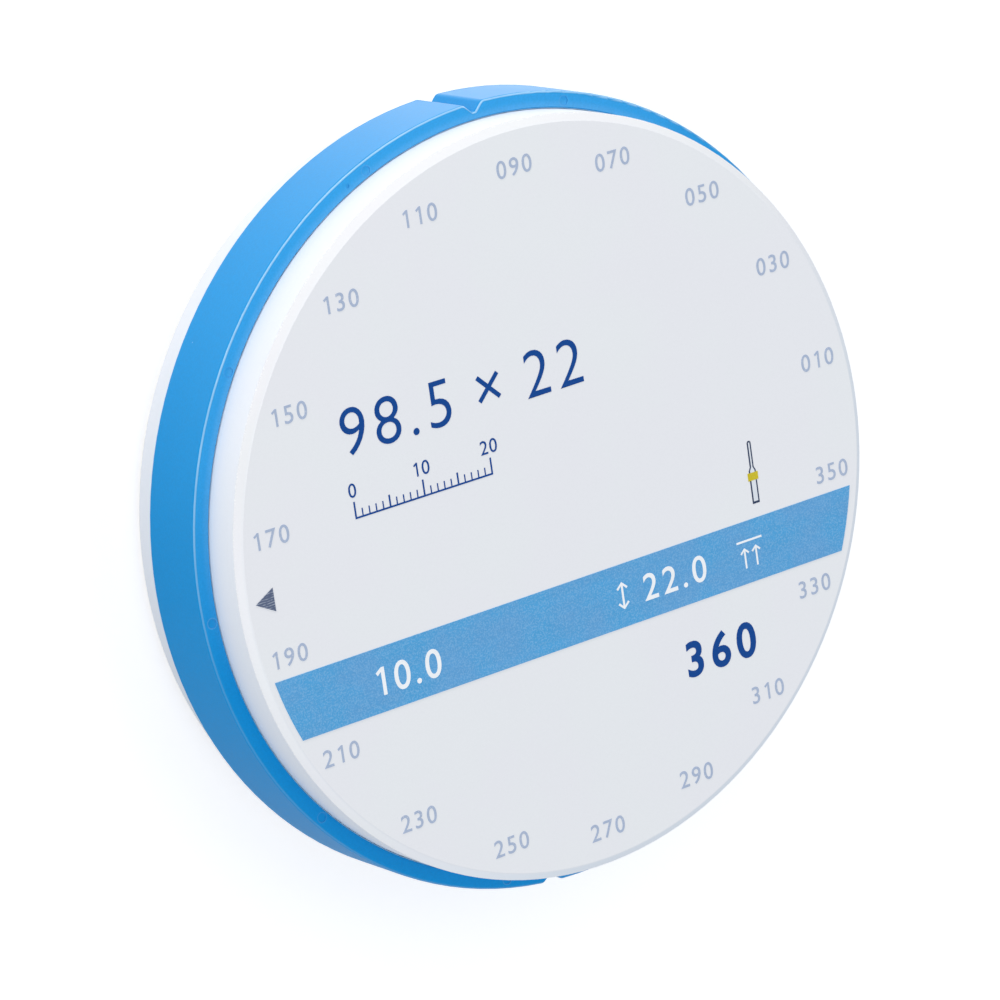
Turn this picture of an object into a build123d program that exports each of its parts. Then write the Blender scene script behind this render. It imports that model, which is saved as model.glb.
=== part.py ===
from build123d import *
from math import atan2, degrees, hypot, radians, tan
import os

# Dental milling disc: a round blank of pre-sintered zirconia, glued into a moulded plastic
# carrier ring, with a printed band and pointer on its top face.
# Millimetres, +Z up. The origin is the centre of the blank's plain back face, on the axis of
# the disc. +X is the direction in which the print on the top face reads.

# Carrier ring, injection moulded, of the diameter that milling machine holders clamp
ring_diameter = 98.5
ring_height = 10.0
ring_wall = 2.15
ring_underside = 6.3         # height over the blank's back face
bond_gap = 0.05              # adhesive film between the ring's bore and the blank's wall
ring_edge_radius = 0.45
bore_bevel = 0.2

# Zirconia blank, pressed in one piece to fill the ring, and bevelled round both rims
blank_thickness = 22.0
rim_bevel_width = 1.0        # across the face
rim_bevel_height = 0.65      # down the wall

# Two notches in the ring's rim, through its full height, that turn the disc into place
notch_angles = (91.0, 263.6)
notch_depth = 1.15
notch_floor_width = 0.4
notch_flank_angle = 45.0     # each flank against the radius through the notch
notch_root_radius = 0.25
notch_shoulder_radius = 0.8

# Round witness marks that the mould leaves in the ring's upper face
ejector_count = 10
ejector_first_angle = 3.2
ejector_diameter = 1.2
gate_angle = 114.9
gate_diameter = 0.5
witness_depth = 0.08

# Print on the top face, which lies a little off the axis of the disc
ink_thickness = 0.05
print_shift_x = -0.2
print_shift_y = -0.35
print_margin = 0.95          # from the rim bevel to the ends of the band
band_width = 7.95
band_drop = 13.85            # from the print's centre down to the band's middle line
pointer_length = 2.6
pointer_width = 2.9
pointer_inset = 1.15         # from the rim bevel to the pointer's tip

# Sizes that follow
ring_radius = ring_diameter / 2
bore_radius = ring_radius - ring_wall
blank_radius = bore_radius - bond_gap
face_radius = blank_radius - rim_bevel_width
ring_top = ring_underside + ring_height
land_inner_radius = bore_radius + bore_bevel
land_outer_radius = ring_radius - ring_edge_radius
witness_radius = (land_inner_radius + land_outer_radius) / 2


def angle_from(vertex, angle):
    """Degrees round the axis between a vertex and a direction, from -180 to 180."""
    turned = degrees(atan2(vertex.Y, vertex.X)) - angle
    return (turned + 180) % 360 - 180


os.makedirs("parts", exist_ok=True)


# Zirconia blank: half of its section, turned about the axis
with BuildPart() as zirconia_blank:
    with BuildSketch(Plane.XZ):
        with BuildLine():
            Polyline(
                (0, 0),
                (face_radius, 0),
                (blank_radius, rim_bevel_height),
                (blank_radius, blank_thickness - rim_bevel_height),
                (face_radius, blank_thickness),
                (0, blank_thickness),
                close=True,
            )
        make_face()
    revolve(axis=Axis.Z)

zirconia_blank.part.label = "zirconia_blank"
export_step(zirconia_blank.part, "parts/zirconia_blank.step")


# Carrier ring: the notched outline, extruded, its edges rounded, then bored for the blank
notch_mouth = ring_radius + notch_depth     # the cutting shape runs on past the rim
notch_floor = ring_radius - notch_depth
notch_half_floor = notch_floor_width / 2
notch_half_mouth = notch_half_floor + (notch_mouth - notch_floor) * tan(radians(notch_flank_angle))
notch_reach = degrees(atan2(notch_half_mouth, ring_radius))

with BuildPart() as carrier_ring:
    with BuildSketch(Plane.XY.offset(ring_underside)) as ring_outline:
        Circle(ring_radius)
        for notch_angle in notch_angles:
            with Locations(Location((0, 0, 0), (0, 0, notch_angle))):
                Polygon(
                    (notch_floor, -notch_half_floor),
                    (notch_mouth, -notch_half_mouth),
                    (notch_mouth, notch_half_mouth),
                    (notch_floor, notch_half_floor),
                    align=None,
                    mode=Mode.SUBTRACT,
                )
        notch_corners = ring_outline.vertices().filter_by(
            lambda corner: any(abs(angle_from(corner, angle)) < notch_reach for angle in notch_angles)
        )
        shoulders = notch_corners.filter_by(
            lambda corner: hypot(corner.X, corner.Y) > ring_radius - notch_depth / 2
        )
        roots = notch_corners - shoulders
        fillet(shoulders, notch_shoulder_radius)
        fillet(roots, notch_root_radius)
    extrude(amount=ring_height)
    ends = carrier_ring.faces().filter_by(Axis.Z)
    fillet(ends.edges(), ring_edge_radius)

    with BuildSketch(Plane.XY.offset(ring_underside)):
        Circle(bore_radius)
    extrude(amount=ring_height, mode=Mode.SUBTRACT)
    bore_ends = carrier_ring.edges(Select.LAST).filter_by(GeomType.CIRCLE)
    chamfer(bore_ends, bore_bevel)

    with BuildSketch(Plane.XY.offset(ring_top)):
        with PolarLocations(witness_radius, ejector_count, start_angle=ejector_first_angle):
            Circle(ejector_diameter / 2)
        with PolarLocations(witness_radius, 1, start_angle=gate_angle):
            Circle(gate_diameter / 2)
    extrude(amount=-witness_depth, mode=Mode.SUBTRACT)

carrier_ring.part.label = "carrier_ring"
export_step(carrier_ring.part, "parts/carrier_ring.step")


# Printed band: a straight stripe of ink, cut off round at the print's margin
print_plane = Plane((print_shift_x, print_shift_y, blank_thickness))

with BuildPart() as print_band:
    with BuildSketch(print_plane):
        Circle(face_radius - print_margin)
        with Locations((0, -band_drop)):
            Rectangle(2 * face_radius, band_width, mode=Mode.INTERSECT)
    extrude(amount=ink_thickness)

print_band.part.label = "print_band"
export_step(print_band.part, "parts/print_band.step")


# Printed pointer: a triangle whose tip faces the rim
pointer_tip = pointer_inset - face_radius
pointer_base = pointer_tip + pointer_length

with BuildPart() as print_pointer:
    with BuildSketch(print_plane):
        Polygon(
            (pointer_tip, 0),
            (pointer_base, -pointer_width / 2),
            (pointer_base, pointer_width / 2),
            align=None,
        )
    extrude(amount=ink_thickness)

print_pointer.part.label = "print_pointer"
export_step(print_pointer.part, "parts/print_pointer.step")
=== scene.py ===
import math

import bmesh
import bpy
from mathutils import Matrix, Vector


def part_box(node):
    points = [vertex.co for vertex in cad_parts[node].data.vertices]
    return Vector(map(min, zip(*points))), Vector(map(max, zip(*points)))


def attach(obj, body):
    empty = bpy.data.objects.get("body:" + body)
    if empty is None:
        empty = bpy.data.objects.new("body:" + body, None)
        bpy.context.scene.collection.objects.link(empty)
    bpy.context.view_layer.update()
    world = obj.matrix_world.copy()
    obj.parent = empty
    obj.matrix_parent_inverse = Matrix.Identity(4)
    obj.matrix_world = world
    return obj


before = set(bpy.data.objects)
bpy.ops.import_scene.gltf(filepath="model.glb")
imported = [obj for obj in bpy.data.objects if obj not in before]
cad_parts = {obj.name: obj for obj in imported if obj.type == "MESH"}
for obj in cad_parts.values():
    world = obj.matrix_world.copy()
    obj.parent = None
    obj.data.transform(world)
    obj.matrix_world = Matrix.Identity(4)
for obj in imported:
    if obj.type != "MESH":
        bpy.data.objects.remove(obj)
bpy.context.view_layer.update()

MM = 0.001


# Zirconia blank
# A solid disc of pre-sintered zirconia, pressed from powder, fired until it is chalky, and
# bevelled round both rims. It is dry and matt, with fine grain, faint pressing lines round its
# wall and tiny chips along the sharp edge of its bevel. Its wall is painted a darker, bluer white,
# as painted shade and painted blue light from the ring. Its bevel has painted shade all round,
# painted light on one side and a painted greyer shade on another.

class Value:
    """A number that changes over a surface. Arithmetic on it adds Math nodes to its finish."""

    def __init__(self, finish, socket):
        self.finish = finish
        self.socket = socket

    def worked(self, operation, *numbers):
        """What a Math node's operation makes of these numbers."""
        made = self.finish.node("ShaderNodeMath", {"operation": operation}, dict(enumerate(numbers)))
        return Value(self.finish, made.outputs[0])

    def __add__(self, other):
        return self.worked("ADD", self, other)

    def __radd__(self, other):
        return self.worked("ADD", other, self)

    def __sub__(self, other):
        return self.worked("SUBTRACT", self, other)

    def __rsub__(self, other):
        return self.worked("SUBTRACT", other, self)

    def __mul__(self, other):
        return self.worked("MULTIPLY", self, other)

    def __rmul__(self, other):
        return self.worked("MULTIPLY", other, self)

    def __truediv__(self, other):
        return self.worked("DIVIDE", self, other)

    def __pow__(self, other):
        return self.worked("POWER", self, other)

    def size(self):
        return self.worked("ABSOLUTE", self)

    def least(self, other):
        return self.worked("MINIMUM", self, other)

    def sine(self):
        return self.worked("SINE", self)

    def turn(self, beside):
        """The angle in radians of a direction whose y is this value and whose x is the other."""
        return self.worked("ARCTAN2", self, beside)

    def wrapped(self, half):
        """The value brought round to lie between minus half and half."""
        return self.worked("WRAP", self, half, -half)

    def rise(self, low, high):
        """0 below low, 1 above high, and a soft step between them. With low above high it falls."""
        settings = {"interpolation_type": "SMOOTHSTEP"}
        sockets = {"Value": self, "From Min": low, "From Max": high, "To Min": 0.0, "To Max": 1.0}
        if low > high:
            sockets.update({"From Min": high, "From Max": low, "To Min": 1.0, "To Max": 0.0})
        return Value(self.finish, self.finish.node("ShaderNodeMapRange", settings, sockets).outputs[0])


class Finish:
    """A material made node by node on the piece's own object coordinates."""

    def __init__(self, name):
        self.material = bpy.data.materials.new(name)
        self.material.use_nodes = True
        self.tree = self.material.node_tree
        self.tree.nodes.clear()
        coordinates = self.node("ShaderNodeTexCoord").outputs
        self.place = coordinates["Object"]
        parts = self.node("ShaderNodeSeparateXYZ", {}, {0: self.place}).outputs
        self.x, self.y, self.z = (Value(self, part) for part in parts)
        facing = self.node("ShaderNodeSeparateXYZ", {}, {0: coordinates["Normal"]}).outputs
        self.facing_up = Value(self, facing[2])

    def node(self, kind, settings=None, sockets=None):
        """A node with its settings first, and then a number, colour or link for each socket."""
        made = self.tree.nodes.new(kind)
        for name, setting in (settings or {}).items():
            setattr(made, name, setting)
        for name, value in (sockets or {}).items():
            source = getattr(value, "socket", value)
            if isinstance(source, bpy.types.NodeSocket):
                self.tree.links.new(source, made.inputs[name])
            else:
                made.inputs[name].default_value = source
        return made

    def from_axis(self):
        """Distance from the axis of the disc."""
        return (self.x ** 2.0 + self.y ** 2.0) ** 0.5

    def towards(self, azimuth):
        """Distance from the axis along one direction of the face, in degrees from +X."""
        return self.x * math.cos(math.radians(azimuth)) + self.y * math.sin(math.radians(azimuth))

    def stretched(self, scale):
        """Object coordinates, scaled by axis."""
        return self.node("ShaderNodeMapping", {}, {"Vector": self.place, "Scale": scale}).outputs[0]

    def noise(self, spot, detail=2.0, roughness=0.5, where=None):
        """Noise from 0 to 1 whose spots are about as wide as given, in metres."""
        sockets = {
            "Vector": where or self.place,
            "Scale": 1.0 / spot,
            "Detail": detail,
            "Roughness": roughness,
        }
        return Value(self, self.node("ShaderNodeTexNoise", {}, sockets).outputs[0])

    def specks(self, spacing, reach, share):
        """1 at the middle of scattered round specks. Share is how many cells hold one."""
        sockets = {"Vector": self.place, "Scale": 1.0 / spacing, "Randomness": 1.0}
        cells = self.node("ShaderNodeTexVoronoi", {}, sockets)
        pick = self.node("ShaderNodeSeparateColor", {}, {0: cells.outputs["Color"]}).outputs[0]
        near = Value(self, cells.outputs["Distance"]).rise(reach, reach * 0.3)
        return near * Value(self, pick).rise(1.0 - share, 1.0 - share + 0.01)

    def blend(self, factor, first, second):
        """The first colour where the factor is 0, and the second where it is 1."""
        first, second = ((*side, 1.0) if isinstance(side, tuple) else side for side in (first, second))
        mix = self.node("ShaderNodeMix", {"data_type": "RGBA"}, {0: factor, 6: first, 7: second})
        return mix.outputs[2]

    def tint(self, colour, factor):
        """A colour made lighter or darker by a factor near 1."""
        grey = self.node("ShaderNodeCombineXYZ", {}, {0: factor, 1: factor, 2: factor}).outputs[0]
        product = self.node("ShaderNodeVectorMath", {"operation": "MULTIPLY"}, {0: colour, 1: grey})
        return product.outputs[0]

    def relief(self, height, depth):
        """Normals for a height from 0 to 1 that stands for so many metres of relief."""
        bump = self.node("ShaderNodeBump", {}, {"Height": height, "Distance": depth, "Strength": 1.0})
        return bump.outputs[0]

    def close(self, sockets):
        """Ends the finish in one surface with these values in its sockets."""
        surface = self.node("ShaderNodeBsdfPrincipled", {}, sockets)
        self.node("ShaderNodeOutputMaterial", {}, {"Surface": surface.outputs[0]})
        return self.material


def dress(node, material):
    """Gives a CAD node its finish."""
    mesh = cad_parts[node].data
    mesh.materials.clear()
    mesh.materials.append(material)


_, blank_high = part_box("zirconia_blank")
blank_radius = blank_high.x
face_height = blank_high.z
middle_height = face_height / 2
rim_bevel_width = 1.0 * MM
rim_bevel_height = 0.65 * MM
face_radius = blank_radius - rim_bevel_width
wall_end = middle_height - rim_bevel_height     # from the middle to where the wall meets a bevel
bevel_lit_azimuth = 215
bevel_shaded_azimuth = 310

chalk_white = (0.892, 0.884, 0.902)
warm_white = (0.886, 0.890, 0.896)
wall_shaded_white = (0.830, 0.852, 0.892)
bevel_shade_grey = (0.790, 0.835, 0.890)
chip_white = (0.97, 0.97, 0.97)

zirconia = Finish("zirconia_chalk")
on_wall = zirconia.from_axis().rise(face_radius - 0.1 * MM, face_radius + 0.3 * MM)
from_middle = (zirconia.z - middle_height).size()
on_bevel = on_wall * from_middle.rise(wall_end - 0.05 * MM, wall_end + 0.05 * MM)
cloud = zirconia.noise(14 * MM, detail=3.0)
powder = zirconia.noise(0.35 * MM, detail=3.0, roughness=0.6)
press_lines = zirconia.noise(0.5 * MM, where=zirconia.stretched((0.02, 0.02, 1.0)))

edge_above = (zirconia.z - (face_height - rim_bevel_height)).size()
edge_below = (zirconia.z - rim_bevel_height).size()
near_edge = edge_above.least(edge_below).rise(0.15 * MM, 0.04 * MM) * on_wall
chips = near_edge * zirconia.noise(0.2 * MM).rise(0.50, 0.60)

# Sides of the bevel that get painted light and painted shade
bevel_lit_side = zirconia.towards(bevel_lit_azimuth).rise(25 * MM, 42 * MM)
bevel_shaded_side = zirconia.towards(bevel_shaded_azimuth).rise(0.0, 35 * MM)

shade = 0.973 + cloud * 0.02 + powder * 0.035 + on_wall * (press_lines - 0.5) * 0.02
# Painted shade on the bevel all round, and painted light on its lit side
shade = shade + on_bevel * (bevel_lit_side * 0.095 - 0.035)
chalk = zirconia.blend(cloud.rise(0.35, 0.65), chalk_white, warm_white)
# The wall is painted a darker, bluer white: painted shade with painted blue light from the ring
chalk = zirconia.blend(on_wall * (1.0 - on_bevel), chalk, wall_shaded_white)
# Painted shade: a greyer white on the bevel's shaded side
chalk = zirconia.blend(on_bevel * bevel_shaded_side, chalk, bevel_shade_grey)
chalk = zirconia.tint(chalk, shade)
chalk = zirconia.blend(chips * 0.8, chalk, chip_white)
grain = powder * 0.5 + on_wall * press_lines * 0.5 - chips * 1.5
dress("zirconia_blank", zirconia.close({
    "Base Color": chalk,
    "Roughness": 0.62 + powder * 0.12,
    "Normal": zirconia.relief(grain, 0.012 * MM),
    "Specular IOR Level": 0.3,
}))


# Carrier ring
# One injection-moulded ring of blue plastic, glued round the middle of the blank's wall. The
# mould left it a fine satin grain, rounded edges, two locating notches and round pin marks. Its
# land is painted a lighter blue than its wall, and lighter still on the side towards the lamp,
# as painted light. On that side its upper corner has a painted highlight, and the land beside
# the blank a painted reflection of the white wall. Its bore is painted pale, painted light that
# lifts the shade in the gap round the blank.

_, ring_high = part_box("carrier_ring")
ring_radius = ring_high.x
bore_radius = ring_radius - 2.15 * MM
pin_mark_count = 10
pin_mark_first = math.radians(3.2)
pin_mark_radius = 0.62 * MM
pin_circle_radius = ring_radius - 1.2 * MM
corner_facing = 0.66        # how far up the middle of the rounded corner faces
lit_azimuth = 110

ring_blue = (0.0, 0.272, 0.645)
land_lit_blue = (0.0, 0.282, 0.690)
land_highlight_blue = (0.035, 0.372, 0.800)
pin_mark_and_highlight_blue = (0.50, 0.80, 0.98)
gap_light_blue = (0.45, 0.75, 0.98)
dust = (0.35, 0.62, 0.85)

plastic = Finish("ring_plastic_satin")
across = plastic.from_axis()
flow = plastic.noise(9 * MM, detail=3.0, where=plastic.stretched((1.0, 1.0, 0.6)))
satin = plastic.noise(0.28 * MM, detail=3.0, roughness=0.65)
specks = plastic.specks(spacing=1.6 * MM, reach=0.08, share=0.03)

corner = (plastic.facing_up.size() - corner_facing).size().rise(0.30, 0.08)
corner = corner * across.rise(ring_radius - 1.9 * MM, ring_radius - 1.6 * MM)
lit_side = plastic.towards(lit_azimuth).rise(2 * MM, 36 * MM)
# Breaks along the painted highlight on the rounded corner
highlight_breaks = 0.55 + plastic.noise(2.5 * MM, detail=4.0) * 0.45
painted_edge_highlight = corner * highlight_breaks * (0.08 + lit_side * 0.92)

land = plastic.facing_up.size().rise(0.9, 0.99)
near_blank = land * across.rise(bore_radius + 1.25 * MM, bore_radius + 0.25 * MM)
in_bore = across.rise(bore_radius + 0.12 * MM, bore_radius + 0.04 * MM)

past_first = plastic.y.turn(plastic.x) - pin_mark_first
past_mark = past_first.wrapped(math.pi / pin_mark_count) * pin_circle_radius
from_mark = (past_mark ** 2.0 + (across - pin_circle_radius) ** 2.0) ** 0.5
mark_edge = (from_mark - pin_mark_radius).size().rise(0.14 * MM, 0.03 * MM)
mark_edge = mark_edge * land * flow.rise(0.30, 0.62)

# Painted light: the land lighter than the wall, and lighter still on the lit side
blue = plastic.blend(land, ring_blue, plastic.blend(lit_side, land_lit_blue, land_highlight_blue))
# Painted reflection of the white blank wall on the land beside it, on the lit side
blue = plastic.blend(near_blank * lit_side * 0.10, blue, pin_mark_and_highlight_blue)
blue = plastic.tint(blue, 0.945 + flow * 0.04 + satin.rise(0.36, 0.64) * 0.07)
blue = plastic.blend(mark_edge * 0.13, blue, pin_mark_and_highlight_blue)
# Painted highlight along the rounded upper corner, strongest on the lit side
blue = plastic.blend(painted_edge_highlight * 0.62, blue, pin_mark_and_highlight_blue)
blue = plastic.blend(specks * 0.5, blue, dust)
# The bore is painted pale: painted light that lifts the shade in the gap round the blank
blue = plastic.blend(in_bore, blue, gap_light_blue)
dress("carrier_ring", plastic.close({
    "Base Color": blue,
    "Roughness": 0.30 + satin * 0.10,
    "Normal": plastic.relief(satin, 0.008 * MM),
    "Specular IOR Level": 0.14,
    "Coat Weight": corner,
    "Coat Roughness": 0.2,
}))


# Printed band
# A stripe of blue ink, pad printed straight across the chalky face. It is dull, the powder
# shows through it in pinholes, and the pad's travel left faint lines along it.

ink_blue = (0.075, 0.375, 0.715)
faded_ink = (0.110, 0.365, 0.690)
thin_ink = (0.27, 0.53, 0.80)

band_ink = Finish("band_ink")
pinholes = band_ink.noise(0.22 * MM, roughness=0.7).rise(0.42, 0.68)
travel = band_ink.noise(0.9 * MM, detail=3.0, where=band_ink.stretched((0.06, 1.0, 1.0)))
mottle = band_ink.noise(0.5 * MM, detail=3.0)
patches = band_ink.noise(7 * MM, detail=3.0).rise(0.35, 0.65)
blue = band_ink.blend(patches, ink_blue, faded_ink)
blue = band_ink.tint(blue, 0.86 + travel * 0.12 + mottle * 0.14)
blue = band_ink.blend(pinholes * 0.55, blue, thin_ink)
dress("print_band", band_ink.close({
    "Base Color": blue,
    "Roughness": 0.55 + pinholes * 0.2,
    "Normal": band_ink.relief(1.0 - pinholes, 0.006 * MM),
    "Specular IOR Level": 0.3,
}))


# Printed pointer
# A small dark triangle at the rim that shows how the blank sits in the machine. Its ink is
# laid in fine strokes with the white of the blank between them.

ink_slate = (0.098, 0.128, 0.215)
between_strokes = (0.42, 0.46, 0.54)
stroke_pitch = 0.30 * MM

pointer_ink = Finish("pointer_ink")
waver = pointer_ink.noise(1.2 * MM) * 0.6
strokes = ((pointer_ink.y / stroke_pitch + waver) * math.tau).sine()
gaps = strokes.rise(0.15, 0.85) * pointer_ink.noise(0.5 * MM).rise(0.35, 0.6)
dress("print_pointer", pointer_ink.close({
    "Base Color": pointer_ink.blend(gaps * 0.8, ink_slate, between_strokes),
    "Roughness": 0.6 + gaps * 0.1,
    "Normal": pointer_ink.relief(1.0 - gaps, 0.006 * MM),
    "Specular IOR Level": 0.3,
}))


# Numbers round the rim
# Eighteen pale grey-blue numbers in a ring, every 20 degrees, all the same way up. They are
# printed with the band, and give the angle of each place from the reading direction.

band_low, band_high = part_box("print_band")
ink_thickness = band_high.z - band_low.z
thin_coat = 0.4 * ink_thickness
full_coat = 0.6 * ink_thickness
print_middle = Vector((-0.2, -0.35, 0.0)) * MM      # the print lies a little off the axis

cap_share = 0.685           # height of a figure for a text size of 1
figure_pitch = 0.5          # from one figure to the next, for a text size of 1
other_pitches = {".": 0.27, " ": 0.22, "×": 0.52}
one_stem = 0.05             # middle of the upright of a 1
one_half = 0.043            # half of its width
one_flag = -0.14            # left end of its flag
one_flag_top = cap_share - 0.11
one_flag_foot = cap_share - 0.18

ink_grey = (0.43, 0.505, 0.655)
rim_mark_count = 18
rim_mark_first = 10
rim_mark_radius = 42.1 * MM
rim_mark_height = 2.15 * MM


def glyph(sign, weight):
    """A mesh of one figure for a text size of 1, centred on its cell. The one has a flag."""
    shape = bmesh.new()
    if sign == "1":
        left = one_stem - one_half - weight
        right = one_stem + one_half + weight
        corners = [
            (left, 0.0),
            (right, 0.0),
            (right, cap_share),
            (left + 0.01, cap_share),
            (one_flag - weight, one_flag_top),
            (one_flag + 0.04, one_flag_foot - weight),
            (left, one_flag_top),
        ]
        shape.faces.new([shape.verts.new((x, y, 0.0)) for x, y in corners])
        return shape
    curve = bpy.data.curves.new("glyph", "FONT")
    curve.body = sign
    curve.align_x = "CENTER"
    curve.offset = weight
    curve.resolution_u = 6
    holder = bpy.data.objects.new("glyph", curve)
    bpy.context.scene.collection.objects.link(holder)
    flat = bpy.data.meshes.new_from_object(holder.evaluated_get(bpy.context.evaluated_depsgraph_get()))
    bpy.data.objects.remove(holder)
    shape.from_mesh(flat)
    bmesh.ops.remove_doubles(shape, verts=shape.verts, dist=0.0001)
    return shape


def figures(words, height, place, spacing=1.0, weight=0.0):
    """Meshes of printed figures, evenly spaced and centred on a place on the face."""
    size = height / cap_share
    pitches = [other_pitches.get(sign, figure_pitch) * spacing * size for sign in words]
    along = -sum(pitches) / 2
    shapes = []
    for sign, pitch in zip(words, pitches):
        if sign != " ":
            shape = glyph(sign, weight / size)
            bmesh.ops.scale(shape, verts=shape.verts, vec=(size, size, size))
            shift = Vector((place[0] + along + pitch / 2, place[1] - height / 2, place[2]))
            bmesh.ops.translate(shape, verts=shape.verts, vec=shift)
            shapes.append(shape)
        along += pitch
    return shapes


def lay_ink(shape, thickness):
    """Gives a flat shape the thickness of its ink, with a closed skin."""
    bmesh.ops.recalc_face_normals(shape, faces=shape.faces)
    if sum(face.normal.z for face in shape.faces) < 0:
        bmesh.ops.reverse_faces(shape, faces=shape.faces)
    grown = bmesh.ops.extrude_face_region(shape, geom=shape.faces[:], use_keep_orig=True)
    raised = [part for part in grown["geom"] if isinstance(part, bmesh.types.BMVert)]
    bmesh.ops.translate(shape, verts=raised, vec=(0.0, 0.0, thickness))
    bmesh.ops.recalc_face_normals(shape, faces=shape.faces)
    for face in shape.faces:
        face.smooth = False


def piece(name, shapes, thickness, material):
    """Joins flat shapes into one printed piece that rides with the disc."""
    mesh = bpy.data.meshes.new(name)
    whole = bmesh.new()
    for shape in shapes:
        lay_ink(shape, thickness)
        part = bpy.data.meshes.new("part")
        shape.to_mesh(part)
        shape.free()
        whole.from_mesh(part)
        bpy.data.meshes.remove(part)
    whole.to_mesh(mesh)
    whole.free()
    made = bpy.data.objects.new(name, mesh)
    bpy.context.scene.collection.objects.link(made)
    mesh.materials.append(material)
    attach(made, "root")


def printed(name, colour, bare, highlight_breaks):
    """Dull ink in one colour, with small faults where what lies under it shows through."""
    ink = Finish(name)
    faults = ink.noise(0.25 * MM, detail=3.0, roughness=0.7).rise(0.52, 0.75)
    patches = ink.noise(2.2 * MM)
    tone = ink.tint(colour, 0.94 + patches * 0.12)
    return ink.close({
        "Base Color": ink.blend(faults * highlight_breaks, tone, bare),
        "Roughness": 0.55 + faults * 0.15,
        "Normal": ink.relief(1.0 - faults, 0.005 * MM),
        "Specular IOR Level": 0.15,
    })


rim_marks = []
for mark in range(rim_mark_count):
    angle = rim_mark_first + mark * 360 // rim_mark_count
    out = Vector((math.cos(math.radians(angle)), math.sin(math.radians(angle)), 0.0))
    place = print_middle + out * rim_mark_radius + Vector((0.0, 0.0, face_height))
    rim_marks += figures(f"{angle:03d}", rim_mark_height, place, spacing=1.2, weight=0.012 * MM)
piece("rim_numbers", rim_marks, full_coat, printed("rim_ink", ink_grey, chalk_white, 0.5))


# Figures and signs on the band
# White ink over the blue: the ring's height at the left, then an upright double arrow with
# the blank's thickness, and two arrows under a line for the side that lies on top.

ink_white = (0.975, 0.98, 0.985)
band_top = band_high.z
band_y = (band_low.y + band_high.y) / 2 / MM
double_arrow_x = 6.85
double_arrow_reach = 1.65
top_arrows_x = (26.1, 27.9)
top_line_ends = (25.0, 29.0)
top_line_low = band_y + 1.35
top_line_high = band_y + 1.61
ring_height_place = (-25.75 * MM, (band_y - 0.2) * MM, band_top)
thickness_place = (15.0 * MM, band_y * MM, band_top)


def outline(height, *corners):
    """A flat face at a height, through corners given in millimetres on the face of the disc."""
    shape = bmesh.new()
    shape.faces.new([shape.verts.new((x * MM, y * MM, height)) for x, y in corners])
    return shape


def bar(height, left, right, low, high):
    """A flat upright rectangle, in millimetres."""
    return outline(height, (left, low), (right, low), (right, high), (left, high))


def arrow(height, x, foot, tip, width, head, double=False):
    """An upright arrow of even strokes, drawn as one outline, in millimetres."""
    slant = width * math.sqrt(0.5)
    half = width / 2
    side = [
        (half, tip - half - slant),
        (head - slant / 2, tip - head - slant / 2),
        (head + slant / 2, tip - head + slant / 2),
        (0.0, tip + slant / 2),
    ]
    if double:
        middle = (foot + tip) / 2
        side = [(px, 2 * middle - py) for px, py in reversed(side)] + side
    else:
        side = [(half, foot)] + side
    left = [(-px, py) for px, py in reversed(side) if px > 0]
    return outline(height, *[(x + px, py) for px, py in side + left])


white_ink = printed("white_ink", ink_white, ink_blue, 0.10)
signs = [arrow(
    band_top,
    double_arrow_x,
    foot=band_y - double_arrow_reach,
    tip=band_y + double_arrow_reach,
    width=0.30,
    head=0.75,
    double=True,
)]
for sign_x in top_arrows_x:
    signs.append(arrow(band_top, sign_x, foot=band_y - 2.0, tip=band_y + 0.55, width=0.26, head=0.62))
signs.append(bar(band_top, *top_line_ends, top_line_low, top_line_high))
piece("band_signs", signs, thin_coat, white_ink)

band_figures = [
    *figures("10.0", height=3.5 * MM, place=ring_height_place, spacing=1.16, weight=0.035 * MM),
    *figures("22.0", height=3.3 * MM, place=thickness_place, spacing=1.25, weight=0.03 * MM),
]
piece("band_figures", band_figures, thin_coat, white_ink)


# Figures on the face
# Dark blue ink in thin strokes gives the disc's diameter and thickness, with a printed scale of
# twenty millimetres below them. A bolder number at the right is the full turn of the dial.

ink_navy = (0.0, 0.060, 0.285)
size_place = (-12.2 * MM, 16.4 * MM, face_height)
turn_place = (20.5 * MM, -25.2 * MM, face_height)
scale_left = -29.6
scale_base = 6.1
scale_length = 20
scale_line = 0.22
fine_line = 0.16
short_tick = 0.9
half_tick = 1.4
long_tick = 1.9
number_rise = 3.3           # from the base line to the middle of the scale's numbers

navy_ink = printed("navy_ink", ink_navy, chalk_white, 0.02)
size_figures = figures("98.5 × 22", height=5.8 * MM, place=size_place, spacing=1.17, weight=-0.07 * MM)
turn_figures = figures("360", height=4.3 * MM, place=turn_place, spacing=1.3, weight=0.13 * MM)

scale_marks = [bar(
    face_height,
    scale_left - scale_line / 2,
    scale_left + scale_length + scale_line / 2,
    scale_base - scale_line,
    scale_base,
)]
for tick in range(scale_length + 1):
    tick_x = scale_left + tick
    tick_height = long_tick if tick % 10 == 0 else half_tick if tick % 5 == 0 else short_tick
    half = (scale_line if tick % 5 == 0 else fine_line) / 2
    tick_top = scale_base + tick_height
    scale_marks.append(bar(face_height, tick_x - half, tick_x + half, scale_base, tick_top))
for number in range(0, scale_length + 1, 10):
    place = ((scale_left + number) * MM, (scale_base + number_rise) * MM, face_height)
    scale_marks += figures(str(number), height=1.7 * MM, place=place, spacing=1.1)

piece("face_figures", size_figures + turn_figures, full_coat, navy_ink)
piece("face_scale", scale_marks, full_coat, navy_ink)


# Milling tool sign
# A small upright burr at the right of the face shows the side that the tool works from. It is
# a pale shape inside a dark outline, with a yellow collar round its shank.

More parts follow.
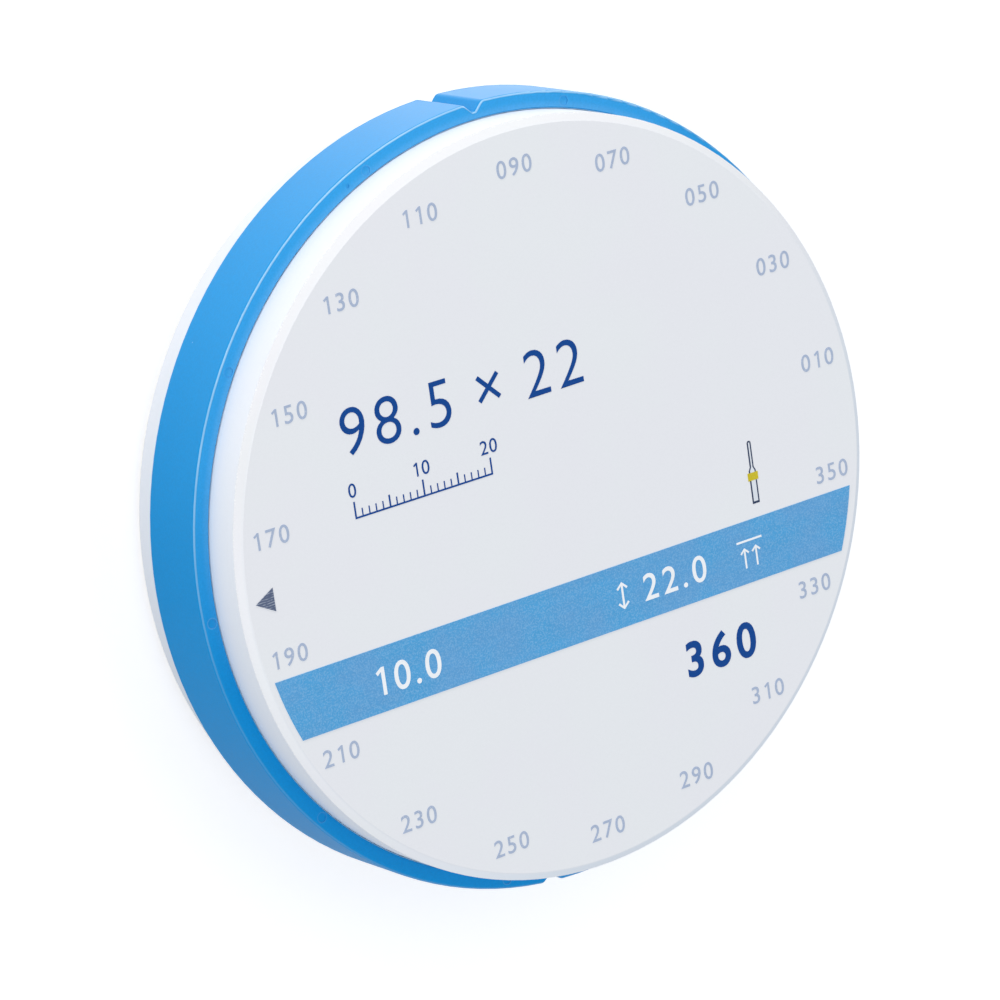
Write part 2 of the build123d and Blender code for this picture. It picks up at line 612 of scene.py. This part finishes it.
outline_navy = (0.030, 0.050, 0.110)
tool_pale = (0.80, 0.83, 0.87)
collar_yellow = (0.66, 0.53, 0.02)
tool_x = 28.94
tool_line = 0.21
tool_side = [(0.14, -0.36), (0.31, -0.58), (0.31, -3.75), (0.55, -4.2), (0.55, -8.44)]
collar_side = [(0.80, -4.45), (0.80, -5.45)]

tool_inside = [(max(px - tool_line, 0.03), py) for px, py in tool_side]
tool_inside[0] = (tool_inside[0][0], tool_side[0][1] - tool_line)
tool_inside[-1] = (tool_inside[-1][0], tool_side[-1][1] + tool_line * 1.4)

# Each layer of ink reaches a little higher than the one under it
for name, side, colour, layer in (
    ("tool_outline", tool_side, outline_navy, 0.4),
    ("tool_body", tool_inside, tool_pale, 0.6),
    ("tool_collar", collar_side, collar_yellow, 0.8),
):
    right_side = [(tool_x + px, py) for px, py in side]
    left_side = [(tool_x - px, py) for px, py in reversed(side)]
    shape = outline(face_height, *right_side, *left_side)
    piece(name, [shape], layer * ink_thickness, printed(f"{name}_ink", colour, chalk_white, 0.12))


# Floor and backdrop
# A plain white sheet under the disc, which the camera sees as white apart from the shadow.
# Towards the upper side of the picture it glows in reflections only, a painted reflection that
# lays a sheen on the ring; no lamp stands there.

floor_size = 6.0
floor_white = (0.76, 0.76, 0.76)
glow_warm = (1.0, 0.97, 0.94)
floor_glow = 0.46
sheen_glow = 2.2
sheen_azimuth = 110

sheet_finish = Finish("white_sheet")
rays = sheet_finish.node("ShaderNodeLightPath").outputs
seen = Value(sheet_finish, rays["Is Camera Ray"]) + Value(sheet_finish, rays["Is Transmission Ray"])
reflected = Value(sheet_finish, rays["Is Glossy Ray"])
sheen_side = sheet_finish.towards(sheen_azimuth).rise(15 * MM, 70 * MM)
paper = sheet_finish.noise(40 * MM)
# Glow seen only in reflections, on the upper side: painted reflection for the ring's sheen
glow = seen * floor_glow + reflected * sheen_side * sheen_glow
sheet_finish.close({
    "Base Color": sheet_finish.tint(floor_white, 0.995 + paper * 0.01),
    "Roughness": 0.9,
    "Specular IOR Level": 0.0,
    "Emission Color": sheet_finish.tint(glow_warm, glow),
    "Emission Strength": 1.0,
})
sheet = bmesh.new()
bmesh.ops.create_grid(sheet, x_segments=1, y_segments=1, size=floor_size / 2)
sheet_mesh = bpy.data.meshes.new("white_sheet")
sheet.to_mesh(sheet_mesh)
sheet.free()
sheet_mesh.materials.append(sheet_finish.material)
floor = bpy.data.objects.new("white_sheet", sheet_mesh)
bpy.context.scene.collection.objects.link(floor)


# Camera
# It looks down on the disc as it lies, along the line of sight that shows its printed face and
# the upper left of its wall.

aim = Vector((-1.70, -1.12, 11.0)) * MM
view_azimuth = 153.63
view_elevation = 53.28
view_distance = 644.2 * MM
view_roll = 103.40
view_lens = 188.73
view_sensor = 36.0


def direction(azimuth, elevation):
    """The unit vector towards an azimuth from +X and an elevation, in degrees."""
    around, up = math.radians(azimuth), math.radians(elevation)
    return Vector((math.cos(up) * math.cos(around), math.cos(up) * math.sin(around), math.sin(up)))


towards_camera = direction(view_azimuth, view_elevation)
camera_data = bpy.data.cameras.new("camera")
camera_data.lens = view_lens
camera_data.sensor_width = view_sensor
camera_data.clip_start = 0.05
camera_data.clip_end = 20.0
camera = bpy.data.objects.new("camera", camera_data)
bpy.context.scene.collection.objects.link(camera)
facing = (-towards_camera).to_track_quat("-Z", "Y").to_matrix()
facing = facing @ Matrix.Rotation(math.radians(view_roll), 3, "Z")
camera.matrix_world = Matrix.Translation(aim + towards_camera * view_distance) @ facing.to_4x4()
bpy.context.scene.camera = camera


# Studio light
# A white room of even, slightly cool light, and one long soft lamp on the upper left of the
# picture.

room_light = 0.84
room_tint = (0.95, 0.99, 1.04, 1.0)
lamp_tint = (1.0, 0.955, 0.895)
lamp_level = 0.53           # what it lends a surface that faces it
lamp_azimuth = 109.0
lamp_elevation = 11.0
lamp_distance = 0.6
lamp_width = 0.85
lamp_height = 0.08

room = bpy.data.worlds.new("room")
room.use_nodes = True
room.node_tree.nodes["Background"].inputs["Color"].default_value = room_tint
room.node_tree.nodes["Background"].inputs["Strength"].default_value = room_light
bpy.context.scene.world = room

towards_lamp = direction(lamp_azimuth, lamp_elevation)
soft_box = bpy.data.lights.new("soft_box", "AREA")
soft_box.shape = "RECTANGLE"
soft_box.size = lamp_width
soft_box.size_y = lamp_height
soft_box.color = lamp_tint
soft_box.energy = lamp_level * (math.pi * lamp_distance) ** 2
lamp = bpy.data.objects.new("soft_box", soft_box)
bpy.context.scene.collection.objects.link(lamp)
facing = (-towards_lamp).to_track_quat("-Z", "Y").to_matrix().to_4x4()
lamp.matrix_world = Matrix.Translation(towards_lamp * lamp_distance) @ facing

bpy.context.scene.view_settings.view_transform = "Standard"
